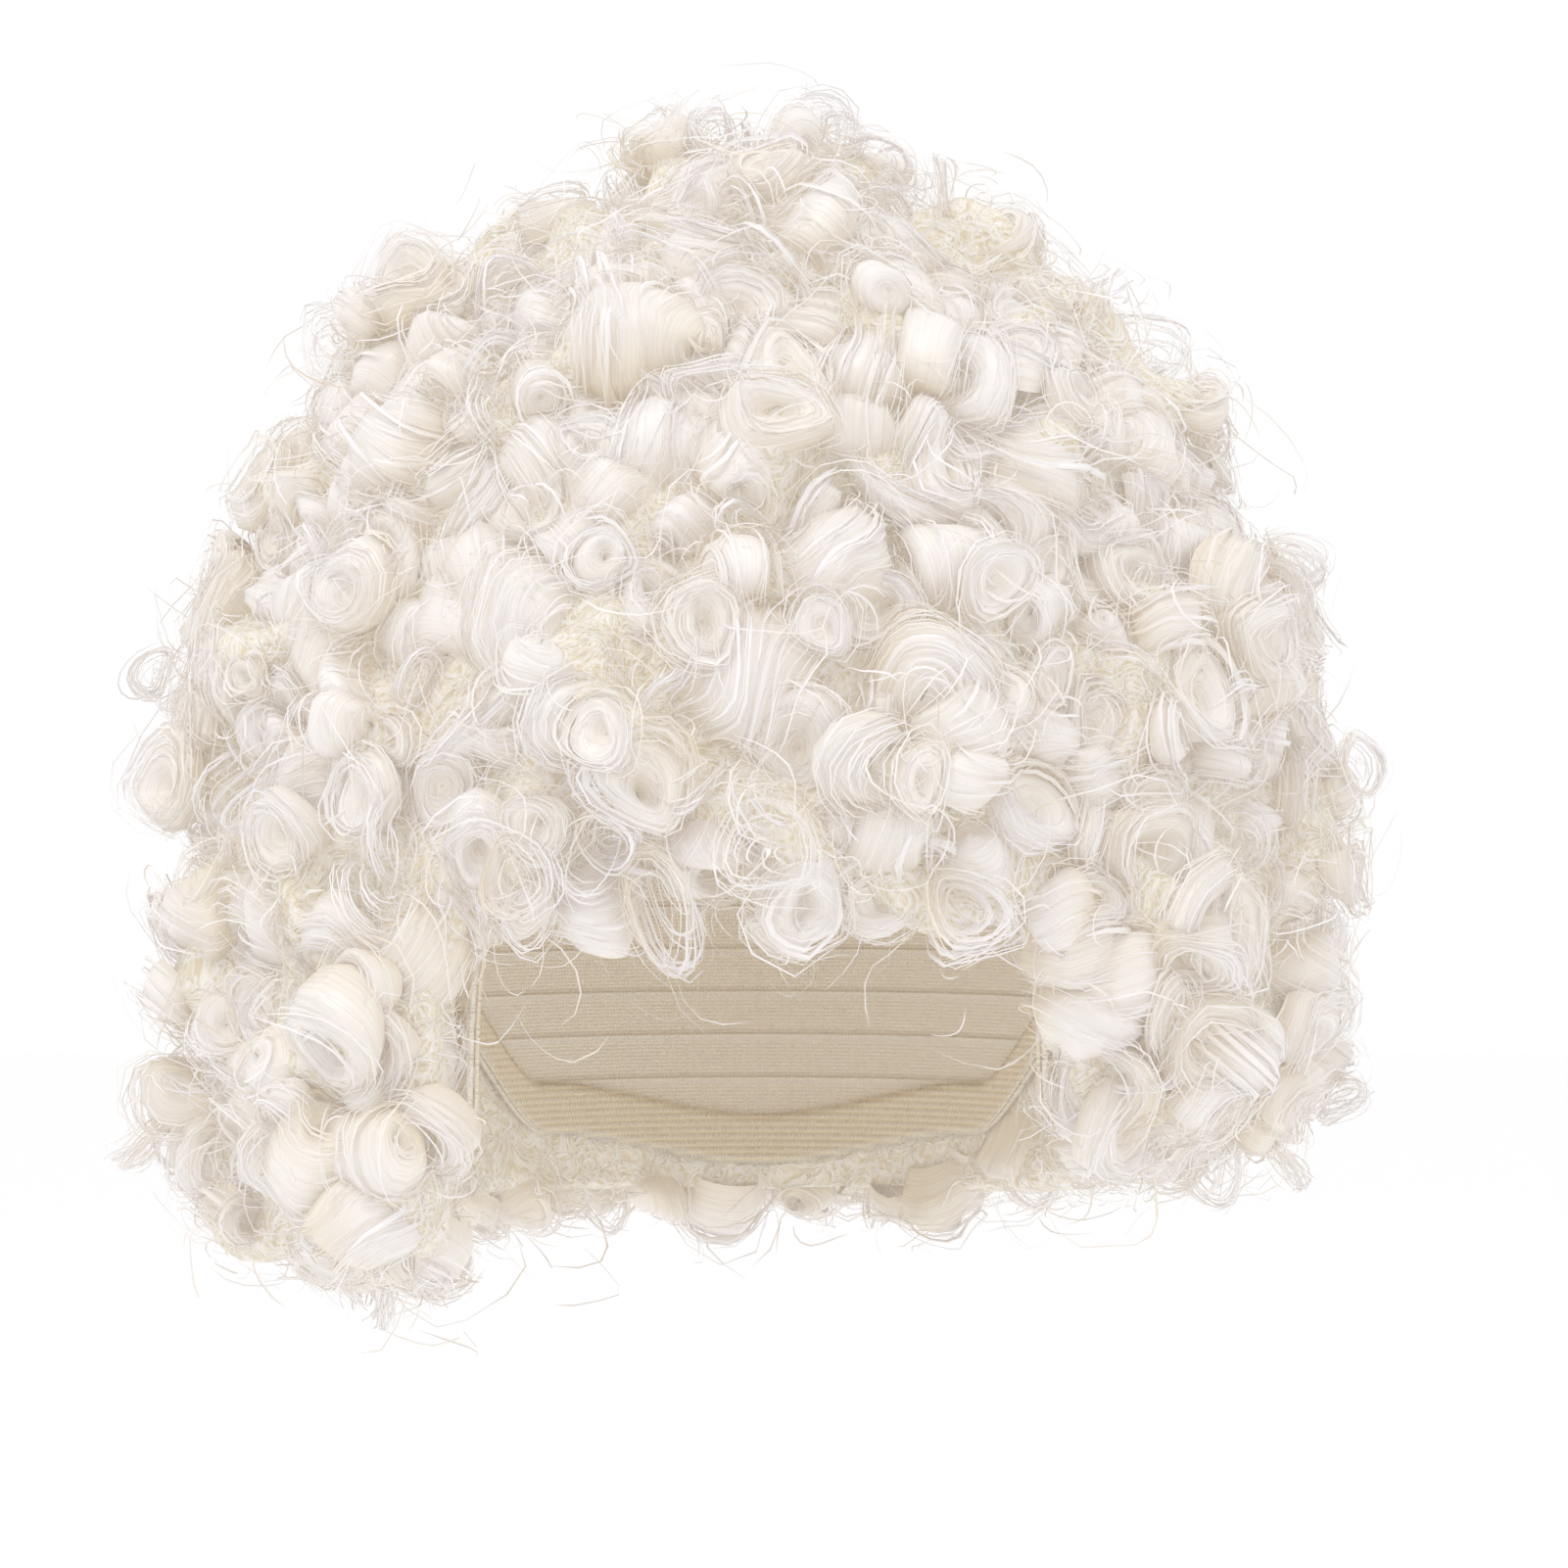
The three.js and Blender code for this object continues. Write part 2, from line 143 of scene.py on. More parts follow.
def make_hair_fibre():
    """Modacrylic fibre, extruded and heat curled: smooth, each strand with a narrow highlight.

    Seen through other strands its white turns to a warm cream: this is painted shade, by how deep a
    strand lies, read from an attribute.
    """
    material, tree, surface = new_material("curled_modacrylic_fibre")
    painted_shade = add_node(tree, "ShaderNodeAttribute", {"attribute_name": "painted_shade"})
    # The fibre's own off-white at the outside, with painted shade below it: a darker, warmer cream
    # the deeper a strand lies
    colour = set_ramp(
        add_node(tree, "ShaderNodeValToRGB", Fac=painted_shade.outputs["Fac"]),
        [(0, "#DCD3C0"), (0.5, "#E0DBD6"), (1, "#E3E1E4")],
    )
    strand = add_node(tree, "ShaderNodeAttribute", {"attribute_name": "strand"})
    shade = set_ramp(
        add_node(tree, "ShaderNodeValToRGB", Fac=strand.outputs["Fac"]),
        [(0, "#FBFAF6"), (1, "#FFFFFF")],
    )
    both = add_node(
        tree,
        "ShaderNodeMix",
        {"data_type": "RGBA", "blend_type": "MULTIPLY"},
        Factor=1.0,
        i6=colour.outputs[0],
        i7=shade.outputs[0],
    )
    # Fibres of about 0.1 mm lie side by side in a wisp: lines along it, as wide as they need to
    # be to show
    place = add_node(tree, "ShaderNodeUVMap", {"uv_map": "Strand"})
    along = add_node(tree, "ShaderNodeMapping", Vector=place.outputs[0], Scale=(0.04, 2.6, 1))
    lines = add_node(
        tree,
        "ShaderNodeTexNoise",
        {"noise_dimensions": "2D"},
        Vector=along.outputs[0],
        Scale=1.0,
        Detail=2.0,
        Roughness=0.6,
        Distortion=0.4,
    )
    # Painted shade between the fibres: a little darker where the lines lie low
    between = set_ramp(
        add_node(tree, "ShaderNodeValToRGB", Fac=lines.outputs["Fac"]),
        [(0.34, "#F5F1EB"), (0.46, "#FCFAF8"), (0.56, "#FFFFFF")],
    )
    lined = add_node(
        tree,
        "ShaderNodeMix",
        {"data_type": "RGBA", "blend_type": "MULTIPLY"},
        Factor=1.0,
        i6=both.outputs[2],
        i7=between.outputs[0],
    )
    relief = add_node(
        tree,
        "ShaderNodeBump",
        Height=lines.outputs["Fac"],
        Strength=0.3,
        Distance=0.3 * MM,
    )
    tree.links.new(lined.outputs[2], surface.inputs["Base Color"])
    tree.links.new(relief.outputs[0], surface.inputs["Normal"])
    # Painted glow: fibre lets light through, and what reaches the strands below it is added here as
    # a faint glow
    surface.inputs["Emission Color"].default_value = linear("#F8F3F0")
    surface.inputs["Emission Strength"].default_value = 0.14
    surface.inputs["Roughness"].default_value = 0.34
    surface.inputs["IOR"].default_value = 1.5
    surface.inputs["Specular IOR Level"].default_value = 0.5
    return material


def make_under_hair():
    """The tangle of cut fibre near the cap: matt, with painted shade that makes it a darker, warmer
    cream where it lies deep and little light reaches it.
    """
    material, tree, surface = new_material("teased_modacrylic_under_hair")
    place = add_node(tree, "ShaderNodeTexCoord")
    painted_shade = add_node(tree, "ShaderNodeAttribute", {"attribute_name": "painted_shade"})
    # Painted shade: a darker, warmer cream where the under hair is less open to the light
    colour = set_ramp(
        add_node(tree, "ShaderNodeValToRGB", Fac=painted_shade.outputs["Fac"]),
        [(0.05, "#DCD2B8"), (0.25, "#E0DACC"), (0.5, "#E1DDD7")],
    )
    # Strands about 1 mm apart, as fine as they show, in two directions and bent by a coarser noise
    bends = add_node(
        tree, "ShaderNodeTexNoise", Vector=place.outputs["Object"], Scale=75.0, Detail=1.0
    )
    bent = add_node(
        tree,
        "ShaderNodeVectorMath",
        {"operation": "MULTIPLY_ADD"},
        i0=bends.outputs["Color"],
        i1=(0.026, 0.026, 0.026),
        i2=place.outputs["Object"],
    )
    webs = []
    for scale in ((1100, 1100, 120), (130, 1100, 1000)):
        turned = add_node(tree, "ShaderNodeMapping", Vector=bent.outputs[0], Scale=scale)
        webs.append(
            add_node(
                tree,
                "ShaderNodeTexNoise",
                Vector=turned.outputs[0],
                Scale=1.0,
                Detail=1.0,
            )
        )
    strands = add_node(
        tree,
        "ShaderNodeMath",
        {"operation": "MAXIMUM"},
        i0=webs[0].outputs["Fac"],
        i1=webs[1].outputs["Fac"],
    )
    # Painted shade between the strands: a darker cream where the strand pattern lies low
    shade = set_ramp(
        add_node(tree, "ShaderNodeValToRGB", Fac=strands.outputs[0]),
        [(0.42, "#E9DFC4"), (0.55, "#FAF6EA"), (0.66, "#FFFFFF")],
    )
    both = add_node(
        tree,
        "ShaderNodeMix",
        {"data_type": "RGBA", "blend_type": "MULTIPLY"},
        Factor=1.0,
        i6=colour.outputs[0],
        i7=shade.outputs[0],
    )
    relief = add_node(
        tree,
        "ShaderNodeBump",
        Height=strands.outputs[0],
        Strength=1.0,
        Distance=0.8 * MM,
    )
    tree.links.new(both.outputs[2], surface.inputs["Base Color"])
    tree.links.new(relief.outputs[0], surface.inputs["Normal"])
    # Painted glow: the under hair glows a little, standing in for light that passes through the
    # fibres above it
    surface.inputs["Emission Color"].default_value = linear("#F8F3F0")
    surface.inputs["Emission Strength"].default_value = 0.14
    surface.inputs["Roughness"].default_value = 0.85
    return material


def make_cap_knit():
    """Stretch nylon tricot: fine wales 1 mm apart, matt, pale yellow, with painted shade that makes
    it a little darker between them.
    """
    material, tree, surface = new_material("nylon_tricot_knit")
    place = add_node(tree, "ShaderNodeUVMap", {"uv_map": "Cloth"})
    wales = add_node(
        tree,
        "ShaderNodeTexWave",
        {"bands_direction": "X"},
        Vector=place.outputs[0],
        Scale=0.314,
        Distortion=0.4,
        Detail=1.0,
    )
    courses = add_node(
        tree,
        "ShaderNodeTexWave",
        {"bands_direction": "Y"},
        Vector=place.outputs[0],
        Scale=0.314,
        Distortion=0.4,
        Detail=1.0,
    )
    # Rows where the hair is machine-stitched on, 12 mm apart
    rows = add_node(
        tree,
        "ShaderNodeTexWave",
        {"bands_direction": "Y", "wave_profile": "SIN"},
        Vector=place.outputs[0],
        Scale=0.0262,
    )
    seam = add_node(
        tree, "ShaderNodeMath", {"operation": "POWER"}, i0=rows.outputs["Fac"], i1=14.0
    )
    knit = add_node(
        tree,
        "ShaderNodeMath",
        {"operation": "MULTIPLY"},
        i0=wales.outputs["Fac"],
        i1=courses.outputs["Fac"],
    )
    height = add_node(
        tree,
        "ShaderNodeMath",
        {"operation": "MULTIPLY_ADD"},
        i0=seam.outputs[0],
        i1=3.0,
        i2=knit.outputs[0],
    )
    # Painted shade: a little darker where the knit lies low, between the wales and courses
    colour = set_ramp(
        add_node(tree, "ShaderNodeValToRGB", Fac=knit.outputs[0]),
        [(0, "#F3EBDD"), (0.5, "#F8F1E7"), (1, "#FAF6F0")],
    )
    relief = add_node(
        tree, "ShaderNodeBump", Height=height.outputs[0], Strength=0.7, Distance=0.35 * MM
    )
    tree.links.new(colour.outputs[0], surface.inputs["Base Color"])
    tree.links.new(relief.outputs[0], surface.inputs["Normal"])
    surface.inputs["Roughness"].default_value = 0.9
    surface.inputs["Sheen Weight"].default_value = 0.2
    return material


def make_hem_elastic():
    """Braided elastic: ribs 1.2 mm apart across its width, matt, a darker yellow than the knit."""
    material, tree, surface = new_material("braided_elastic")
    place = add_node(tree, "ShaderNodeUVMap", {"uv_map": "Cloth"})
    ribs = add_node(
        tree,
        "ShaderNodeTexWave",
        {"bands_direction": "X"},
        Vector=place.outputs[0],
        Scale=0.262,
        Distortion=0.3,
    )
    cords = add_node(
        tree, "ShaderNodeTexWave", {"bands_direction": "Y"}, Vector=place.outputs[0], Scale=0.17
    )
    height = add_node(
        tree,
        "ShaderNodeMath",
        {"operation": "MULTIPLY"},
        i0=ribs.outputs["Fac"],
        i1=cords.outputs["Fac"],
    )
    # Painted shade: a little darker where the ribs and cords lie low
    colour = set_ramp(
        add_node(tree, "ShaderNodeValToRGB", Fac=height.outputs[0]),
        [(0, "#EEE3CE"), (0.5, "#F4EBDC"), (1, "#F8F1E6")],
    )
    relief = add_node(
        tree, "ShaderNodeBump", Height=height.outputs[0], Strength=0.8, Distance=0.4 * MM
    )
    tree.links.new(colour.outputs[0], surface.inputs["Base Color"])
    tree.links.new(relief.outputs[0], surface.inputs["Normal"])
    surface.inputs["Roughness"].default_value = 0.8
    return material


# ---- the cap and its hem ----


def edge_depth(turn):
    """How far below the crown the cap's edge lies, by turn from the face in degrees."""
    turn = np.abs((np.asarray(turn, float) + 180) % 360 - 180)
    i = np.clip(np.searchsorted(CAP_EDGE_TURN, turn) - 1, 0, len(CAP_EDGE_TURN) - 2)
    t0, t1 = np.take(CAP_EDGE_TURN, i), np.take(CAP_EDGE_TURN, i + 1)
    d0, d1 = np.take(CAP_EDGE_DEPTH, i), np.take(CAP_EDGE_DEPTH, i + 1)
    share = (turn - t0) / (t1 - t0)
    return d0 + share * share * (3 - 2 * share) * (d1 - d0)


def head_girth(depth):
    """The head's girth at a depth below the crown, as a share of its widest, and its lean."""
    above = np.maximum(0, 1 - depth / DOME_DEPTH)
    below = np.maximum(0, (depth - DOME_DEPTH) / (NAPE_EDGE - DOME_DEPTH))
    round_part = np.sqrt(np.maximum(0, 1 - above * above))
    girth = np.where(depth < DOME_DEPTH, round_part, 1 - NECK_TAPER * below * below)
    return girth, NECK_LEAN * below * below, above


def head_points(turn, depth, grow):
    """Points of the head's surface moved out by grow."""
    girth, lean, above = head_girth(depth)
    a = np.radians(turn)
    x = (HEAD_WIDTH / 2 + grow) * girth * np.sin(a)
    y = -(HEAD_LENGTH / 2 + grow) * girth * np.cos(a) - lean
    return np.stack([x, y, -depth + grow * above], -1)


def cloth_wall(name, outer, inner, columns, rows, depths, pole):
    """A cloth wall round the head between two offsets, with a row of points at each depth."""
    turns = np.linspace(0, 360, columns, endpoint=False)
    bm = bmesh.new()
    sheet = bm.loops.layers.uv.new("Cloth")
    rings = []
    for grow, order in ((outer, 1), (inner, -1)):
        made = []
        for depth in depths(turns, rows)[::order]:
            made.append([bm.verts.new(p * MM) for p in head_points(turns, depth, grow)])
        rings.append(made)
    if pole:
        tops = [bm.verts.new((0, 0, g * MM)) for g in (outer, inner)]
    ring_list = rings[0] + rings[1]
    count = len(ring_list)
    for r in range(count if not pole else count - 1):
        a, b = ring_list[r], ring_list[(r + 1) % count]
        for i in range(columns):
            j = (i + 1) % columns
            bm.faces.new((a[i], b[i], b[j], a[j]))
    if pole:
        for i in range(columns):
            j = (i + 1) % columns
            bm.faces.new((tops[0], ring_list[0][i], ring_list[0][j]))
            bm.faces.new((tops[1], ring_list[-1][j], ring_list[-1][i]))
    for face in bm.faces:
        face.smooth = True
        middle = face.calc_center_median()
        turn_mid = math.atan2(middle.x / HEAD_WIDTH, -middle.y / HEAD_LENGTH)
        for loop in face.loops:
            p = loop.vert.co
            turn = math.atan2(p.x / HEAD_WIDTH, -p.y / HEAD_LENGTH)
            turn += TAU * round((turn_mid - turn) / TAU)
            loop[sheet].uv = (turn * 85, p.z / MM * 1.25)
    mesh = bpy.data.meshes.new(name)
    bm.to_mesh(mesh)
    bm.free()
    obj = bpy.data.objects.new(name, mesh)
    bpy.context.collection.objects.link(obj)
    bpy.ops.object.select_all(action="DESELECT")
    obj.select_set(True)
    bpy.context.view_layer.objects.active = obj
    bpy.ops.object.mode_set(mode="EDIT")
    bpy.ops.mesh.select_all(action="SELECT")
    bpy.ops.mesh.normals_make_consistent(inside=False)
    bpy.ops.object.mode_set(mode="OBJECT")
    return obj


def cap_depths(turns, rows):
    edge = edge_depth(turns)
    shares = np.linspace(0, 1, rows + 1)[1:]
    return [(1 - np.cos(s * math.pi / 2)) * (edge - HEM_WIDTH) for s in shares] + [
        edge - HEM_WIDTH / 2,
        edge,
    ]


def hem_depths(turns, rows):
    edge = edge_depth(turns)
    return [edge - HEM_WIDTH * (1 - s) for s in np.linspace(0, 1, rows)]


# ---- where the hair's outer surface lies ----


def node_triangles(name):
    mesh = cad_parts[name].data
    mesh.calc_loop_triangles()
    co = np.empty(len(mesh.vertices) * 3, np.float32)
    mesh.vertices.foreach_get("co", co)
    tri = np.empty(len(mesh.loop_triangles) * 3, np.int32)
    mesh.loop_triangles.foreach_get("vertices", tri)
    return co.reshape(-1, 3) / MM, tri.reshape(-1, 3)


def all_solids(names):
    points, faces, owner, base = [], [], [], 0
    for name in names:
        co, tri = node_triangles(name)
        points.append(co)
        faces.append(tri + base)
        owner += [name] * len(tri)
        base += len(co)
    return np.concatenate(points), np.concatenate(faces), owner


def unit(v):
    return v / np.maximum(np.linalg.norm(v, axis=-1, keepdims=True), 1e-9)


def ball_directions(count):
    i = np.arange(count) + 0.5
    z = 1 - 2 * i / count
    a = i * TAU * 0.61803399
    r = np.sqrt(1 - z * z)
    return np.stack([r * np.cos(a), r * np.sin(a), z], -1)


def hair_surface(count):
    """Points on the hair's outside, with the node and the way that hair grows at each."""
    co, tri, owner = all_solids([*HAIR_NODES, "cap", "hem_band"])
    tree = BVHTree.FromPolygons([Vector(p) for p in co], [tuple(t) for t in tri])
    starts, aims = [], []
    for d in ball_directions(count):
        start = HAIR_MIDDLE + d * 320
        target = np.array([0, 5, np.clip(start[2], -118, -30)])
        starts.append(start)
        aims.append(target - start)
    for x in np.arange(-130, 131, 7.0):  # from below, onto the hair's lower edge
        for y in np.arange(-130, 150, 7.0):
            starts.append(np.array([x, y, -330.0]))
            aims.append(np.array([0, 0, 1.0]))
    for z in np.arange(-176, -96, 7.0):  # from inside the face opening, onto its two sides
        for side in (-1, 1):
            for lean in np.arange(-0.9, 0.75, 0.1):
                starts.append(np.array([0, -64.0, z]))
                aims.append(np.array([side, lean, 0]))
    points, nodes, ways = [], [], []
    for start, aim in zip(starts, aims):
        hit, _, index, _ = tree.ray_cast(Vector(start), Vector(aim).normalized())
        if hit is None or owner[index] not in HAIR_NODES:
            continue
        p = np.array(hit)
        girth, lean, _ = head_girth(np.array(-p[2]))
        inside = math.hypot(
            p[0] / (HEAD_WIDTH / 2 * max(girth, 0.05)),
            (p[1] + lean) / (HEAD_LENGTH / 2 * max(girth, 0.05)),
        )
        if p[2] < 0 and inside < 1.06:
            continue
        out = unit((p - HAIR_MIDDLE) / HAIR_HALF**2)
        if abs(aim[2]) < 1e-9 and abs(start[0]) < 1:  # a side of the face opening
            out = unit(np.array([-np.sign(p[0]) * 0.7, -0.7, -0.1]))
            if p[1] > -24:
                continue
        points.append(p)
        nodes.append(owner[index])
        ways.append(out)
    return np.array(points), nodes, np.array(ways)


def evened(points, reach):
    """Each point moved to the mean place of those near it."""
    out = np.empty_like(points)
    for i in range(0, len(points), 400):
        part = points[i : i + 400]
        gap = np.linalg.norm(part[:, None] - points[None], axis=-1)
        weight = np.exp(-((gap / reach) ** 2)) * (gap < 2.5 * reach)
        out[i : i + 400] = (weight[..., None] * points[None]).sum(1) / weight.sum(1)[:, None]
    return out


def thinned(points, spacing):
    """Which points stay when no two may be nearer than their spacing."""
    kept = []
    places = np.empty((0, 3))
    for i in rng.permutation(len(points)):
        if len(kept) and (np.linalg.norm(places - points[i], axis=1) < spacing[i]).any():
            continue
        kept.append(i)
        places = points[kept]
    return kept


# ---- strands ----


class Strands:
    """All fibres and wisps of one piece, as arrays by the number of points along them."""

    def __init__(self):
        self.fibres = {}
        self.wisps = {}
        self.bodies = []

    def add(self, paths, across, widths, painted_shade, kind):
        """Paths is strands by points by 3, and across the way that each strand's width lies."""
        store = self.wisps if kind == "wisp" else self.fibres
        store.setdefault(paths.shape[1], []).append((paths, across, widths, painted_shade))

    def triangles(self):
        total = 0
        for points, parts in self.fibres.items():
            total += sum(len(p[0]) for p in parts) * (points - 1) * 2
        for points, parts in self.wisps.items():
            total += sum(len(p[0]) for p in parts) * (points - 1) * 4
        for grid, *_ in self.bodies:
            total += (grid.shape[0] - 1) * (grid.shape[1] - 1) * 2
        return total


def head_share(points, clear):
    """How far out points are, 1 on the head's surface moved out by clear, with lean and height."""
    up = points[..., 2] + DOME_DEPTH
    below = np.clip(-up / (NAPE_EDGE - DOME_DEPTH), 0, 1.3)
    girth = 1 - NECK_TAPER * below * below
    lean = NECK_LEAN * below * below
    x, y, h = points[..., 0], points[..., 1] + lean, np.maximum(up, 0)
    far = np.sqrt(
        (x / ((HEAD_WIDTH / 2 + clear) * girth)) ** 2
        + (y / ((HEAD_LENGTH / 2 + clear) * girth)) ** 2
        + (h / (DOME_DEPTH + clear)) ** 2
    )
    return far, lean, up


def ruffled(points):
    """Points moved a little, each with its neighbours, so that no curl stays a perfect round."""
    moved = points.copy()
    for length, far in ((27.0, 1.7), (13.0, 0.35)):
        for axis in range(3):
            wave = np.zeros(points.shape[:-1])
            for k in range(2):
                turned = np.roll([1.0, 0.62 - 0.9 * k, 0.35 + 0.3 * k], axis + k)
                wave += np.sin(points @ turned * (TAU / length) + 1.7 * axis + 2.9 * k)
            moved[..., axis] += far * 0.7 * wave
    return moved


def kept_off_head(points):
    """Points inside the cap or the head moved straight out to the hair's inner side."""
    far, lean, up = head_share(points, CAP_WALL + 1.2)
    push = np.where(far < 1, 1 / np.maximum(far, 0.3), 1.0)
    out = points.copy()
    out[..., 0] = points[..., 0] * push
    out[..., 1] = (points[..., 1] + lean) * push - lean
    out[..., 2] = np.where(up > 0, up * push - DOME_DEPTH, points[..., 2])
    return out


# Curl shapes as turned profiles: place along the profile, share of the radius, share of the half
# length. A ringlet is seen down its axis and is hollow in the middle. A coil is seen from its side,
# and a puff is nearly a ball.
RINGLET = np.array(
    [
        [0, 0.02, -0.7],
        [0.25, 0.26, 0.1],
        [0.5, 0.52, 0.85],
        [0.75, 0.8, 0.9],
        [1, 1.0, 0.35],
        [1.25, 1.02, -0.4],
        [1.5, 0.85, -1.0],
    ]
)
COIL = np.array(
    [
        [-1, 0.02, -0.6],
        [-0.75, 0.5, -0.98],
        [-0.5, 0.85, -0.85],
        [-0.2, 1.0, -0.35],
        [0.2, 1.0, 0.35],
        [0.5, 0.85, 0.85],
        [0.75, 0.5, 0.98],
        [1, 0.02, 0.6],
    ]
)
PUFF = np.array(
    [
        [-1, 0.02, -1.0],
        [-0.75, 0.42, -0.91],
        [-0.5, 0.77, -0.64],
        [-0.2, 0.97, -0.22],
        [0.2, 0.97, 0.22],
        [0.5, 0.77, 0.64],
        [0.75, 0.42, 0.91],
        [1, 0.02, 1.0],
    ]
)


def side_ways(way):
    """Two ways square to this one, turned at random."""
    helper = np.array([0, 0, 1.0]) if abs(way[2]) < 0.9 else np.array([0, 1.0, 0])
    a = unit(np.cross(way, helper))
    b = np.cross(way, a)
    turn = rng.random() * TAU
    return math.cos(turn) * a + math.sin(turn) * b, math.cos(turn) * b - math.sin(turn) * a


def axes_from(axis, start):
    axis = unit(axis)
    first = unit(start - axis * (start @ axis))
    return axis, first, np.cross(axis, first)


def depth_shade_of(path, place, way):
    """Painted shade by depth, pale at the tips and a darker, warmer cream below them: 0 at 12 mm
    under the outside, 1 from 3 mm over it.
    """
    return np.clip((((path - place) * way).sum(-1) + 12) / 15, 0, 1)


def add_body(strands, shape, centre, axis, start, radius, half, place, way, columns=14):
    """The bulk of one curl, with its strands as fine lines that run round its axis."""
    axis, first, second = axes_from(axis, start)
    radius, half = radius * BULK_SHARE, half * BULK_SHARE
    angle = np.linspace(0, TAU, columns + 1)
    uneven = 1 + 0.11 * np.sin(2 * angle + rng.random() * TAU)
    uneven = uneven + 0.05 * np.sin(3 * angle + rng.random() * TAU)
    uneven[-1] = uneven[0]
    r = shape[:, 1:2] * radius * uneven
    h = shape[:, 2:3] * half * (1 + 0.12 * np.sin(angle + rng.random() * TAU))
    out = np.cos(angle)[:, None] * first + np.sin(angle)[:, None] * second
    grid = centre + r[..., None] * out + h[..., None] * axis
    steps = np.linalg.norm(np.diff(shape[:, 1:] * [radius, half], axis=0), axis=1)
    across = np.concatenate([[0], np.cumsum(steps)])[:, None] + np.zeros(columns + 1)
    along = angle * radius * 0.8 + np.zeros((len(shape), 1))
    seed = rng.random()
    place_uv = np.stack([along + seed * 400, across + seed * 90], -1)
    # Painted shade: the bulk lies under its strands, so its depth shade is scaled by 0.8 to make it
    # darker
    strands.bodies.append((grid, 0.8 * depth_shade_of(grid, place, way), seed, place_uv))


def add_strands(
    strands, shape, centre, axis, start, radius, half, place, way, kind, count, points, turns, lift
):
    """Strands that wind round a curl just outside its bulk."""
    axis, first, second = axes_from(axis, start)
    t = np.linspace(0, 1, points)[None, :]
    low, high = shape[0, 0], min(shape[-1, 0], 1.2)
    q0 = rng.uniform(low + 0.22, high, (count, 1))
    drift = rng.normal(0, 0.16, (count, 1))
    q = np.clip(q0 + drift * t, low + 0.05, shape[-1, 0])
    wide = np.interp(q, shape[:, 0], shape[:, 1]) * radius
    tall = np.interp(q, shape[:, 0], shape[:, 2]) * half
    loose = rng.random((count, 1)) ** 2.5
    proud = lift[0] + (lift[1] - lift[0]) * loose
    phase = rng.random((count, 3)) * TAU
    wound = TAU * turns * rng.uniform(0.7, 1.3, (count, 1)) * t * rng.choice([-1, 1])
    angle = phase[:, :1] + wound
    wave = np.sin(angle * 1.7 + phase[:, 1:2])
    ends = 4 * (t - 0.5) ** 2
    wide = wide + proud * (0.6 + 0.4 * wave) + loose * 1.2 * ends
    sway = (0.3 + 1.2 * loose) * np.sin(angle * 1.3 + phase[:, 2:])
    tall = tall + proud * np.sign(tall) * 0.6 + sway
    out = np.cos(angle)[..., None] * first + np.sin(angle)[..., None] * second
    path = centre + wide[..., None] * out + tall[..., None] * axis
    if kind == "wisp":
        profile = np.linspace(low, shape[-1, 0], 60)
        slope = np.gradient(np.interp(profile, shape[:, 0], shape[:, 1]))
        lean = np.clip(np.interp(q, profile, slope) * 40, -1.3, 1.3)
        size = rng.uniform(*WISP_WIDTH, (count, 1))
    else:
        lean = rng.choice([-1, 1], (count, 1)) * rng.uniform(0.4, 1.2, (count, 1)) + 0 * t
        size = rng.uniform(*FIBRE_WIDTH, (count, 1))
    across = np.sin(lean)[..., None] * out + np.cos(lean)[..., None] * axis
    taper = np.minimum(1, 1.2 - 1.0 * (2 * np.abs(t - 0.5)) ** 5)
    strands.add(path, across, size * taper, depth_shade_of(path, place, way), kind)


def grow_ringlet(strands, place, way, size, fibres, wisps):
    """A spiral seen from outside, its middle open: the commonest curl on the front."""
    side, other = side_ways(way)
    tilt = abs(rng.normal(0.25, 0.3))
    axis = math.cos(tilt) * way + math.sin(tilt) * side
    radius = 10 * size
    half = radius * rng.uniform(0.38, 0.6)
    centre = place - way * (half * 0.75 + rng.uniform(0, 3))
    profile = RINGLET.copy()
    profile[0, 2] = rng.uniform(-0.8, 0.5)
    shape = (strands, profile, centre, axis, -way + other * 0.1, radius, half)
    add_body(*shape, place, way)
    add_strands(*shape, place, way, "wisp", wisps, 12, 0.85, (0.2, 2.2))
    add_strands(*shape, place, way, "fibre", fibres, 12, 0.9, (0.1, 3.8))


def grow_coil(strands, place, way, size, fibres, wisps):
    """A coil that lies along the surface and arches out of it."""
    side, _ = side_ways(way)
    axis = side + way * rng.normal(0, 0.3)
    radius = 8 * size
    half = radius * rng.uniform(0.8, 1.25)
    centre = place - way * (radius * 0.75 + rng.uniform(-1, 2.5))
    shape = (strands, COIL, centre, axis, -way, radius, half)
    add_body(*shape, place, way)
    add_strands(*shape, place, way, "wisp", wisps, 12, 0.8, (0.2, 2.2))
    add_strands(*shape, place, way, "fibre", fibres, 12, 0.85, (0.1, 3.8))


def grow_puff(strands, place, way, size, fibres, wisps):
    """A dense round tuft, its strands wrapped round it as on a ball of wool."""
    side, _ = side_ways(way)
    axis = way * rng.normal(0.3, 0.3) + side
    radius = 10 * size
    centre = place - way * radius * 0.66
    shape = (strands, PUFF, centre, axis, -way, radius, radius * rng.uniform(0.95, 1.2))
    add_body(*shape, place, way, 20)
    add_strands(*shape, place, way, "wisp", wisps, 13, 0.45, (-0.4, 1.4))
    add_strands(*shape, place, way, "fibre", fibres, 13, 0.55, (-0.3, 3.2))


